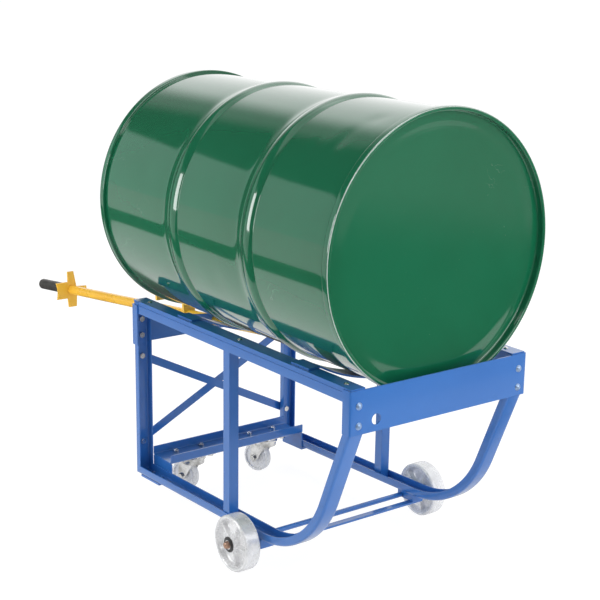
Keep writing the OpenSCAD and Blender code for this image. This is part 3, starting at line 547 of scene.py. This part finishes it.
class CART_OT_drum_shell(bpy.types.Operator):
    """Drum body: a wall with two domed hoops, a groove before and a hollow behind each, and shallow dents"""

    bl_idname = "cart.drum_shell"
    bl_label = "Drum shell"

    def execute(self, context):
        look = context.scene.drum_look
        low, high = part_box("drum_shell")
        rims_low, rims_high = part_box("drum_rims")
        wall = drum_radius() - 6 * MM
        total = rims_high.y - rims_low.y
        start = low.y - rims_low.y
        end = high.y - rims_low.y
        near = np.concatenate([np.linspace(*run) for run in (
            (-28, -23, 3), (-22.5, -17, 12), (-16, 15, 26), (15.5, 23, 14), (25, 56, 13))]) * MM
        s = np.unique(np.concatenate([np.linspace(start, end, 110), *[h + near for h in HOOPS_AT]]))
        off = np.stack([s - h for h in HOOPS_AT])
        front_half = look.hoop_width * np.array([[0.46], [0.50]])
        rear_half = look.hoop_width * np.array([[0.56], [0.42]])
        half = np.where(off < 0, front_half, rear_half)
        arc = (half ** 2 + look.hoop_rise ** 2) / (2 * look.hoop_rise)
        dome = np.sqrt(np.clip(arc ** 2 - off ** 2, 0, None)) - (arc - look.hoop_rise)
        swell = np.where(np.abs(off) < half, dome, 0).max(0)
        away = np.clip(off - half, 0, None)
        hollow = (1 - np.exp(-(away / (16 * MM)) ** 2)) * np.exp(-away / (110 * MM)) * look.hollow
        groove = np.exp(-((off + half + 1.2 * MM) / (1.1 * MM)) ** 2) * look.groove
        groove = (groove + hollow).max(0)
        neck = 0.8 * MM * (np.exp(-((s - start) / 0.012) ** 2) + np.exp(-((end - s) / 0.012) ** 2))
        radius = wall + swell - groove - neck
        outer = np.stack([radius, s], 1)
        sparse = np.unique(np.append(np.arange(0, len(s), 6), len(s) - 1))[::-1]
        inner = np.stack([radius[sparse] - WALL_SHEET, s[sparse]], 1)
        points = drum_points(np.concatenate([outer, inner]))
        points = self.dents(points, look.dent, rims_low.y, total)
        obj = make_object("drum_shell_finish", grid_mesh("drum_shell_finish", points, wrap_rows=True))
        finish_mesh(obj, 40)
        place(obj, "drum", drum_paint(), "drum_paint", ["drum_shell"])
        return {"FINISHED"}

    def dents(self, points, depth, front, total):
        """Each dent is a bell-shaped hollow; long, low waves come from a few cosines."""
        dx = points[..., 0] - DRUM_AT.x
        dz = points[..., 2] - DRUM_AT.z
        s = points[..., 1] - front
        angle = np.arctan2(dz, dx)
        radius = np.hypot(dx, dz)
        push = np.zeros_like(radius)
        for at, turn, along, around, deep in (
                (0.110, 128, 0.016, 0.045, 1.0), (0.085, 112, 0.022, 0.030, 0.7),
                (0.175, 137, 0.012, 0.060, 0.35), (0.420, 200, 0.030, 0.060, 0.45),
                (0.700, 160, 0.040, 0.050, 0.40), (0.480, 60, 0.030, 0.040, 0.6),
                (0.640, 330, 0.030, 0.050, 0.5), (0.790, 20, 0.025, 0.050, 0.7)):
            away = np.angle(np.exp(1j * (angle - math.radians(turn))))
            push += deep * depth * np.exp(-((s - at) / along) ** 2 - (away / (around * 2.2)) ** 2)
        wave = np.cos(3 * angle + 2.0 + s * 9) + np.cos(5 * angle + 1.1 - s * 14)
        wave = wave + np.cos(2 * angle + s * 21)
        push += 0.06 * MM * (wave + 3) * np.sin(np.clip(s / total, 0, 1) * math.pi)
        scale = (radius - push) / radius
        moved = points.copy()
        moved[..., 0] = DRUM_AT.x + dx * scale
        moved[..., 2] = DRUM_AT.z + dz * scale
        return moved


class CART_OT_drum_rims(bpy.types.Operator):
    """Rolled seams at both ends of the drum, with a rubbed outer edge"""

    bl_idname = "cart.drum_rims"
    bl_label = "Drum rims"

    def execute(self, context):
        rim = drum_radius()
        wide = 18 * MM
        outline = np.array([(rim, 0), (rim, wide), (rim - 6.2 * MM, wide), (rim - 6.6 * MM, wide + 0.2 * MM),
                            (rim - RIM_THICK, wide), (rim - RIM_THICK, 0)])
        section = rounded(outline, np.array([4.2, 3.6, 0.4, 0.4, 1.5, 4.2]) * MM, 9, True)
        from_edge = (section[:, 0] - rim + 1.2 * MM) / (1.3 * MM)
        rub = np.exp(-from_edge ** 2 - (section[:, 1] / (3.0 * MM)) ** 2)
        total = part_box("drum_rims")[1].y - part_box("drum_rims")[0].y
        material = drum_paint(0.47)
        for name, flip in (("drum_front_rim_finish", False), ("drum_rear_rim_finish", True)):
            profile = section.copy()
            if flip:
                profile[:, 1] = total - profile[:, 1]
            points = drum_points(profile, 320)
            level = np.repeat(rub[:, None], points.shape[1], 1)
            obj = make_object(name, grid_mesh(name, points, True, True, ("rub", level)))
            finish_mesh(obj, 50, close=False)
            place(obj, "drum", material, "drum_paint", [] if flip else ["drum_rims"])
        return {"FINISHED"}


class CART_OT_drum_heads(bpy.types.Operator):
    """Pressed heads with a raised middle, a low ring beside the rim and slight waves"""

    bl_idname = "cart.drum_heads"
    bl_label = "Drum heads"

    def execute(self, context):
        rim = drum_radius()
        seat = rim - RIM_THICK
        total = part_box("drum_rims")[1].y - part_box("drum_rims")[0].y
        front_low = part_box("drum_front_head")[0].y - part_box("drum_rims")[0].y
        flat = HEAD_DEPTH - 1.6 * MM
        edge = seat - 0.2 * MM
        outline = np.array([(0, flat), (246 * MM, flat), (266 * MM, HEAD_DEPTH), (edge, HEAD_DEPTH),
                            (edge, front_low + 1 * MM)])
        line = rounded(outline, np.array([0, 9, 5, 5, 0]) * MM, 11)
        inner = np.linspace(0, 240 * MM, 26)[:-1]
        profile = np.concatenate([np.stack([inner, np.full_like(inner, flat)], 1), line[1:]])
        back = profile[::-1] + np.array([-0.2 * MM, 1.2 * MM])
        back[:, 0] = np.clip(back[:, 0], 0, None)
        whole = np.concatenate([profile, back])
        for name, node, flip in (("drum_front_head_finish", "drum_front_head", False),
                                 ("drum_rear_head_finish", "drum_rear_head", True)):
            shape = whole.copy()
            if flip:
                shape[:, 1] = total - shape[:, 1]
            points = drum_points(shape, 256)
            r = shape[:, 0][:, None]
            turn = np.linspace(0, 2 * np.pi, 256, endpoint=False)[None]
            wave = np.cos(2 * turn + 0.7) * (r / 0.26) ** 2
            wave = wave + 0.7 * np.cos(3 * turn + 2.0) * (r / 0.26) ** 3
            wave = wave * np.clip((0.250 - r) / 0.03, 0, 1) * 0.5 * MM
            crown = (-1.2 if flip else 1.2) * MM
            points[..., 1] += wave + np.where(r < 0.24, (1 - (r / 0.24) ** 2) * crown, 0)
            obj = make_object(name, grid_mesh(name, points, True))
            finish_mesh(obj, 40, close=False)
            place(obj, "drum", drum_paint(), "drum_paint", [node])
        dress("drum_plugs", zinc(), "zinc", 0.6 * MM)
        return {"FINISHED"}


# Frame

def side_path(look):
    """Web line of a side frame in the YZ plane, with its inward directions; the corner is mitred."""
    low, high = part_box("right_side_frame")
    rear = high.y
    front = low.y
    base = low.z
    top = high.z
    rise = look.rise
    lean = look.lean
    slope = math.tan(rise)
    span = rear - (front - 3 * MM)
    climb = look.kink_height - base - span * slope
    knee = (3 * MM + climb * math.tan(lean)) / (1 - slope * math.tan(lean))
    knee_y = front - 3 * MM + knee
    knee_z = base + (span - knee) * slope
    low_lean = math.pi / 2 - rise
    cut = look.rocker * math.tan((low_lean - lean) / 2)
    kink_cut = look.kink * math.tan(lean / 2)

    def inward(a):
        return np.stack([np.cos(a), np.sin(a)], -1)

    def onward(a):
        return np.array([-math.sin(a), math.cos(a)])

    rocker = np.array([knee_y, knee_z]) - onward(low_lean) * cut + inward(low_lean) * look.rocker
    kink = np.array([front, look.kink_height]) - onward(lean) * kink_cut + inward(lean) * look.kink
    a1 = np.linspace(low_lean, lean, 49)
    a2 = np.linspace(lean, 0, 15)
    points = np.concatenate([[[rear, top]], [[rear, base]], rocker - look.rocker * inward(a1),
                             kink - look.kink * inward(a2), [[front, top]]])
    ways = np.concatenate([[[-1, 0]], [[-1, slope + 1 / math.cos(rise)]], inward(a1), inward(a2), [[1, 0]]])
    return points, ways


def channel_section(width, depth, sheet, corner):
    """Closed outline of a channel with rounded outer and inner corners and soft flange edges."""
    w = width / 2
    outline = np.array([(-w, 0), (w, 0), (w, depth), (w - sheet, depth), (w - sheet, sheet),
                        (-w + sheet, sheet), (-w + sheet, depth), (-w, depth)])
    soft = sheet * 0.3
    return rounded(outline, [corner, corner, soft, soft, corner * 0.5, corner * 0.5, soft, soft], 7, True)


class CART_OT_side_frames(bpy.types.Operator):
    """Both side frames: one channel each, bent from rear post through the rocker to the front leg"""

    bl_idname = "cart.side_frames"
    bl_label = "Side frames"

    def execute(self, context):
        look = context.scene.cart_look
        line, ways = side_path(look)
        section = channel_section(look.channel_width, look.channel_depth, look.sheet, look.corner)
        for side in ("left", "right"):
            node = side + "_side_frame"
            low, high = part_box(node)
            middle = (low.x + high.x) / 2
            path = np.column_stack([np.full(len(line), middle), line])
            inward = np.column_stack([np.zeros(len(ways)), ways])
            points = sweep(section, path, np.array([1.0, 0, 0]), inward)
            obj = make_object(node + "_finish", grid_mesh(node + "_finish", points))
            finish_mesh(obj, 38)
            place(obj, "frame", cart_paint(), "frame_paint", [node])
        return {"FINISHED"}


class CART_OT_frame_parts(bpy.types.Operator):
    """Rails, posts, plates, saddles, braces and brackets of the frame"""

    bl_idname = "cart.frame_parts"
    bl_label = "Frame parts"

    def execute(self, context):
        for node, bevel in (("left_top_rail", 0.8), ("right_top_rail", 0.8), ("left_middle_post", 1.6),
                            ("right_middle_post", 1.6), ("front_plate", 0.7), ("rear_plate", 0.7),
                            ("front_saddle", 0.9), ("rear_saddle", 0.9), ("brace_bar_front", 0.6),
                            ("brace_bar_rear", 0.6), ("caster_channel", 0.7), ("left_caster_bracket", 0.7),
                            ("right_caster_bracket", 0.7), ("axle_tie_bar", 0.8), ("axle_blocks", 1.0)):
            dress(node, cart_paint(), "frame_paint", bevel * MM)
        dress("wheel_axle", cart_paint(), "axle_paint", 0.6 * MM)
        return {"FINISHED"}


class CART_OT_fasteners(bpy.types.Operator):
    """Bolts, nuts, rivets, washers and caps"""

    bl_idname = "cart.fasteners"
    bl_label = "Fasteners"

    def execute(self, context):
        for node in ("brace_spacers", "axle_washers", "front_plate_bolts", "front_plate_nuts",
                     "rear_plate_bolts", "rear_plate_nuts", "brace_bolts", "brace_nuts", "rail_rivets",
                     "bracket_bolts", "bracket_nuts", "caster_bolts", "caster_nuts"):
            metal = tinted_zinc() if node == "front_plate_bolts" else zinc()
            dress(node, metal, "zinc", 0.35 * MM)
        dress("axle_caps", cap_copper(), "cap_metal", 0.4 * MM)
        return {"FINISHED"}


# Wheels

class CART_OT_front_wheels(bpy.types.Operator):
    """Cast front wheels: dished faces with ribs that fade into hub and rim, and dark bushes"""

    bl_idname = "cart.front_wheels"
    bl_label = "Front wheels"

    def execute(self, context):
        look = context.scene.wheel_look
        for side, sign in (("left", -1), ("right", 1)):
            low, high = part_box(side + "_wheel")
            centre = (low + high) / 2
            radius = (high.z - low.z) / 2
            bore = HUB_RADIUS * 0.62
            width = high.x - low.x
            tread0 = TREAD_FROM
            tread1 = tread0 + TREAD_WIDTH
            mid = (tread0 + tread1) / 2
            hub = HUB_RADIUS
            rim = radius - 9 * MM
            outline = np.array([
                (bore, 0), (hub, 0), (hub + 3 * MM, mid - 7 * MM), (rim - 5 * MM, mid - 4 * MM),
                (rim + 0.5 * MM, tread0 + 2 * MM), (rim + 3 * MM, tread0), (radius - 3 * MM, tread0),
                (radius, tread0 + 3 * MM), (radius, tread1 - 3 * MM), (radius - 3 * MM, tread1),
                (rim + 3 * MM, tread1), (rim + 0.5 * MM, tread1 - 2 * MM), (rim - 5 * MM, mid + 4 * MM),
                (hub + 3 * MM, mid + 7 * MM), (hub, width), (bore, width)])
            corners = np.array([0, 2, 8, 8, 1.5, 1.5, 2.5, 3, 3, 2.5, 1.5, 1.5, 8, 8, 2, 0]) * MM
            profile = rounded(outline, corners, 8)
            profile = split_long(profile, 1.2 * MM)
            inner_x = low.x if sign > 0 else high.x
            segments = 240
            points = revolve(profile, (inner_x, centre.y, centre.z), (sign, 0, 0), (0, -1, 0), segments)
            points = self.ribs(points, profile, look, sign, mid, hub, rim)
            obj = make_object(side + "_wheel_finish", grid_mesh(side + "_wheel_finish", points, True))
            finish_mesh(obj, 45, close=False)
            place(obj, side + "_front_wheel", wheel_metal(), "wheel_nylon", [side + "_wheel"])
            dress(side + "_wheel_bush", bush_rubber(), "bush", 0.5 * MM)
        return {"FINISHED"}

    def ribs(self, points, profile, look, sign, mid, hub, rim):
        """Pushes the web out along straight ribs: a smooth ridge across the angle, full from hub to rim."""
        y = points[..., 1] - points[..., 1].mean()
        z = points[..., 2] - (points[..., 2].max() + points[..., 2].min()) / 2
        r = profile[:, 0][:, None]
        h = profile[:, 1][:, None]
        angle = np.arctan2(z, -y) - math.radians(69)
        gap = np.angle(np.exp(1j * angle * look.ribs)) / look.ribs
        across = np.abs(gap) * r
        ridge = np.clip(1 - (across / look.rib_width) ** 2, 0, 1) ** 1.5
        reach = np.clip((r - hub) / 0.004, 0, 1) * np.clip((rim + 0.002 - r) / 0.006, 0, 1)
        away = np.abs(h - mid)
        room = np.clip(1 - (away - 0.004) / 0.012, 0, 1)
        push = look.rib_rise * ridge * reach * room * np.sign(h - mid)
        moved = points.copy()
        moved[..., 0] += sign * push
        return moved


class CART_OT_casters(bpy.types.Operator):
    """Swivel casters: plated plates, forks and pins with pale wheels"""

    bl_idname = "cart.casters"
    bl_label = "Casters"

    def execute(self, context):
        for node in ("caster_plates", "caster_kingpins", "left_caster_fork", "right_caster_fork",
                     "left_caster_pin", "right_caster_pin"):
            dress(node, zinc(), "zinc", 0.5 * MM)
        for side in ("left", "right"):
            dress(side + "_caster_wheel", wheel_metal(), "wheel_nylon", 0.4 * MM)
            self.race_cover(side)
        return {"FINISHED"}

    def race_cover(self, side):
        """A pressed ring turned round the swivel axis, from below the plate down round the fork's dish."""
        at = JOINTS[side + "_caster_swivel"]["pos_m"]
        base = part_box(side + "_caster_fork")[1].z + RACE_ABOVE
        outline = np.array([(28.8, 9.0), (30.4, 9.0), (31.6, 4.5), (31.0, -1.0), (29.8, -1.5),
                            (28.8, -1.2)]) * MM
        profile = rounded(outline, np.array([0.3, 0.6, 3.0, 0.5, 0.3, 0.3]) * MM, 7, True)
        points = revolve(profile, (at[0], at[1], base), (0, 0, 1), (1, 0, 0), 96)
        name = side + "_caster_cover"
        obj = make_object(name, grid_mesh(name, points, True))
        finish_mesh(obj, 40, close=False)
        place(obj, "frame", zinc(), "zinc")


class CART_OT_lever(bpy.types.Operator):
    """Lever tube, rim hook, four-armed plate and rubber grip"""

    bl_idname = "cart.lever"
    bl_label = "Lever"

    def execute(self, context):
        dress("lever_tube", lever_paint(), "lever_paint", 0.5 * MM)
        dress("lever_hook", lever_paint(), "lever_paint", 1.0 * MM, segments=3)
        dress("lever_star_plate", lever_paint(), "lever_paint", 0.9 * MM, segments=3)
        dress("lever_grip", grip_rubber(), "grip_rubber", 0.5 * MM)
        return {"FINISHED"}


# Stage

def camera_turn(look):
    """Rotation whose columns are the camera's right, up and backward directions."""
    cy, sy = math.cos(look.yaw), math.sin(look.yaw)
    cp, sp = math.cos(look.pitch), math.sin(look.pitch)
    ahead = Vector((-sy * cp, cy * cp, -sp))
    right = Vector((cy, sy, 0))
    down = ahead.cross(right)
    cr, sr = math.cos(look.roll), math.sin(look.roll)
    turned_right = cr * right + sr * down
    turned_down = -sr * right + cr * down
    return Matrix((turned_right, -turned_down, -ahead)).transposed().to_4x4()


class CART_OT_stage(bpy.types.Operator):
    """Pale floor, studio surroundings, soft lamps and the camera"""

    bl_idname = "cart.stage"
    bl_label = "Stage"

    def execute(self, context):
        look = context.scene.studio_look
        scene = context.scene
        scene.view_settings.view_transform = "Standard"
        self.floor(look)
        self.surroundings(scene)
        self.lamp("ceiling_lamp", (-0.3, -0.4, 3.4), (0, 0, 0.4), 2.6, 2.6, 12)
        card = self.lamp("left_card", (-1.95, 0.15, 1.15), (0, 0.15, 1.15), 0.9, 0.9, 18)
        card.visible_diffuse = False
        fill = self.lamp("left_fill", (-1.80, 0.8, 0.85), (0, 0.0, 0.4), 4.0, 1.9, 43)
        fill.visible_glossy = False
        low = self.lamp("low_fill", (0.3, -2.6, 0.32), (0, 0, 0.20), 2.6, 0.5, 7)
        low.visible_glossy = False
        self.lamp("key_lamp", (-1.2, -2.9, 2.4), (0, -0.9, 0.7), 0.5, 0.5, 6)
        self.lamp("front_lamp", (0.9, -4.2, 2.0), (0, -0.6, 0.7), 2.2, 2.0, 40)
        camera = bpy.data.objects.new("camera", bpy.data.cameras.new("camera"))
        scene.collection.objects.link(camera)
        camera.matrix_world = Matrix.Translation(look.place) @ camera_turn(look)
        camera.data.lens = look.lens
        camera.data.sensor_width = 36
        scene.camera = camera
        return {"FINISHED"}

    def floor(self, look):
        """A round pale floor that shows nearly white and keeps a soft shadow. In reflections it glows in
        patches, a painted reflection, with a painted shadow patch in front of the cart.
        """
        turn = np.linspace(0, 2 * np.pi, 96, endpoint=False)
        radii = np.array([0.0, 3.0, 10.0, 40.0])
        level = np.zeros((len(radii), len(turn)))
        points = np.stack([radii[:, None] * np.cos(turn), radii[:, None] * np.sin(turn), level], -1)
        obj = make_object("studio_floor", grid_mesh("studio_floor", points))
        finish_mesh(obj, close=False)
        material, r, shader = new_material("studio_floor")
        shader.inputs["Base Color"].default_value = rgba(look.floor)
        shader.inputs["Roughness"].default_value = 0.9
        shader.inputs["Specular IOR Level"].default_value = 0.0
        spot = r.node("ShaderNodeTexCoord").outputs["Object"]
        away = r.node("ShaderNodeVectorMath", {0: spot, 1: (-0.3, -0.9, 0)}, operation="ADD").outputs[0]
        away = r.node("ShaderNodeVectorMath", {0: away}, operation="LENGTH").outputs["Value"]
        x, y, z = r.node("ShaderNodeSeparateXYZ", {0: spot}).outputs[:3]
        # For reflections only, the floor glows in patches: a painted reflection of bright studio
        # surroundings.
        behind = r.math("MULTIPLY", r.ramp(x, 0.6, 1.4), r.ramp(y, 0.5, 1.6))
        reflection_glow = r.math("MULTIPLY", r.ramp(away, 2.7, 2.3), r.ramp(x, -1.20, -1.10))
        near_cut = r.ramp(r.math("ADD", x, y), 0.73, 0.57)
        reflection_glow = r.math("MULTIPLY", reflection_glow, near_cut)
        far_cut = r.ramp(r.math("ADD", r.math("MULTIPLY", x, 2.05), y), -0.5, -0.7)
        beyond = r.math("MULTIPLY", r.ramp(x, -1.70, -1.80), r.ramp(y, 0.0, 0.3))
        beyond = r.math("MULTIPLY", beyond, far_cut)
        reflection_glow = r.math("MAXIMUM", reflection_glow, r.math("MULTIPLY", beyond, 0.76))
        ahead = r.math("MULTIPLY", r.ramp(r.math("SUBTRACT", x, y), 4.1, 3.6), r.ramp(x, -0.4, -0.1))
        ahead = r.math("MULTIPLY", ahead, r.ramp(y, -0.8, -1.0))
        ahead = r.math("MULTIPLY", ahead, r.ramp(y, -1.98, -1.88))
        reflection_glow = r.math("MAXIMUM", r.math("MAXIMUM", reflection_glow, behind), ahead)
        front = r.ramp(r.math("SUBTRACT", x, y), 4.8, 7.5, 0.0, 0.40)
        reflection_glow = r.math("MAXIMUM", reflection_glow, front)
        # Painted shadow: the floor's reflected glow is darkened in a patch just in front of the cart.
        across = r.math("MULTIPLY", r.ramp(x, 0.12, 0.25), r.ramp(x, 0.75, 0.60))
        along = r.math("MULTIPLY", r.ramp(y, -1.80, -1.65), r.ramp(y, -0.90, -1.0))
        painted_shadow_patch = r.math("MULTIPLY", across, along)
        reflection_glow = r.math("MULTIPLY", reflection_glow, r.math("SUBTRACT", 1.0, r.math("MULTIPLY", painted_shadow_patch, 0.75)))
        glossy = r.ramp(reflection_glow, 0, 1, 0.07, 0.78)
        path = r.node("ShaderNodeLightPath")
        mirrored = r.math("MAXIMUM", path.outputs["Is Glossy Ray"], path.outputs["Is Transmission Ray"])
        strength = r.math("ADD", r.math("MULTIPLY", path.outputs["Is Camera Ray"], 1.19),
                          r.math("MULTIPLY", mirrored, glossy))
        glow = r.node("ShaderNodeEmission", {"Color": (1, 1, 1, 1), "Strength": strength})
        part = r.math("ADD", r.math("MULTIPLY", path.outputs["Is Camera Ray"], 0.76), mirrored, True)
        blend = r.node("ShaderNodeMixShader", {0: part, 1: shader.outputs[0], 2: glow.outputs[0]})
        out = next(n for n in r.tree.nodes if n.type == "OUTPUT_MATERIAL")
        r.tree.links.new(blend.outputs[0], out.inputs[0])
        obj.data.materials.append(material)

    def surroundings(self, scene):
        """A studio round the object: white for the camera, a pale panel at the rear left, grey elsewhere."""
        world = bpy.data.worlds.new("studio")
        scene.world = world
        world.use_nodes = True
        world.node_tree.nodes.clear()
        r = Recipe(world.node_tree)
        way = r.node("ShaderNodeTexCoord").outputs["Generated"]
        x, y, z = r.node("ShaderNodeSeparateXYZ", {0: way}).outputs[:3]
        dim = r.ramp(x, -0.10, 0.06, 0.06, 0.30)
        bright = r.ramp(x, 0.08, 0.32, 0.0, 0.85)
        rear = r.math("ADD", dim, bright)
        front = r.ramp(y, 0.15, -0.15)
        rear = r.math("MULTIPLY", rear, r.math("SUBTRACT", 1.0, front))
        front = r.math("MULTIPLY", front, r.ramp(x, -0.35, 0.10, 0.12, 0.72))
        level = r.math("ADD", rear, front)
        panel = r.math("MULTIPLY", r.ramp(x, -0.14, -0.18), r.ramp(z, 0.43, 0.40))
        panel = r.math("MULTIPLY", panel, r.math("MULTIPLY", r.ramp(y, 0.50, 0.60), r.ramp(y, 0.905, 0.88)))
        top = r.math("MULTIPLY", r.ramp(z, 0.68, 0.93, 0.0, 0.62), r.ramp(x, -0.05, 0.25, 0.15, 1.0))
        level = r.math("ADD", level, top)
        level = r.mix(panel, level, (0.54, 0.66, 0.63, 1))
        path = r.node("ShaderNodeLightPath")
        level = r.mix(path.outputs["Is Camera Ray"], level, (1, 1, 1, 1))
        background = r.node("ShaderNodeBackground", {"Color": level, "Strength": 1.0})
        out = r.node("ShaderNodeOutputWorld")
        r.tree.links.new(background.outputs[0], out.inputs[0])

    def lamp(self, name, at, target, width, height, power):
        lamp = bpy.data.lights.new(name, "AREA")
        lamp.shape = "RECTANGLE"
        lamp.size = width
        lamp.size_y = height
        lamp.energy = power
        obj = bpy.data.objects.new(name, lamp)
        bpy.context.scene.collection.objects.link(obj)
        obj.location = at
        obj.visible_camera = False
        obj.rotation_euler = (Vector(target) - Vector(at)).to_track_quat("-Z", "Y").to_euler()
        return obj


class CART_PT_panel(bpy.types.Panel):
    """Buttons for each group of pieces and the sizes and colours behind them"""

    bl_label = "Drum cart"
    bl_space_type = "VIEW_3D"
    bl_region_type = "UI"
    bl_category = "Drum cart"

    def draw(self, context):
        for operator in OPERATORS:
            self.layout.operator(operator.bl_idname)
        for name in LOOKS:
            look = getattr(context.scene, name)
            box = self.layout.box()
            for key in look.__annotations__:
                box.prop(look, key)


OPERATORS = (CART_OT_drum_shell, CART_OT_drum_rims, CART_OT_drum_heads, CART_OT_side_frames,
             CART_OT_frame_parts, CART_OT_fasteners, CART_OT_front_wheels, CART_OT_casters, CART_OT_lever,
             CART_OT_stage)
LOOKS = {"drum_look": DrumLook, "cart_look": CartLook, "wheel_look": WheelLook, "lever_look": LeverLook,
         "studio_look": StudioLook}


def register():
    for group in LOOKS.values():
        bpy.utils.register_class(group)
    for operator in OPERATORS:
        bpy.utils.register_class(operator)
    bpy.utils.register_class(CART_PT_panel)
    for name, group in LOOKS.items():
        setattr(bpy.types.Scene, name, PointerProperty(type=group))


def unregister():
    for name in LOOKS:
        delattr(bpy.types.Scene, name)
    for made in (CART_PT_panel, *OPERATORS, *LOOKS.values()):
        bpy.utils.unregister_class(made)


def main():
    register()
    for operator in OPERATORS:
        area, name = operator.bl_idname.split(".")
        getattr(getattr(bpy.ops, area), name)()


if __name__ == "__main__":
    main()
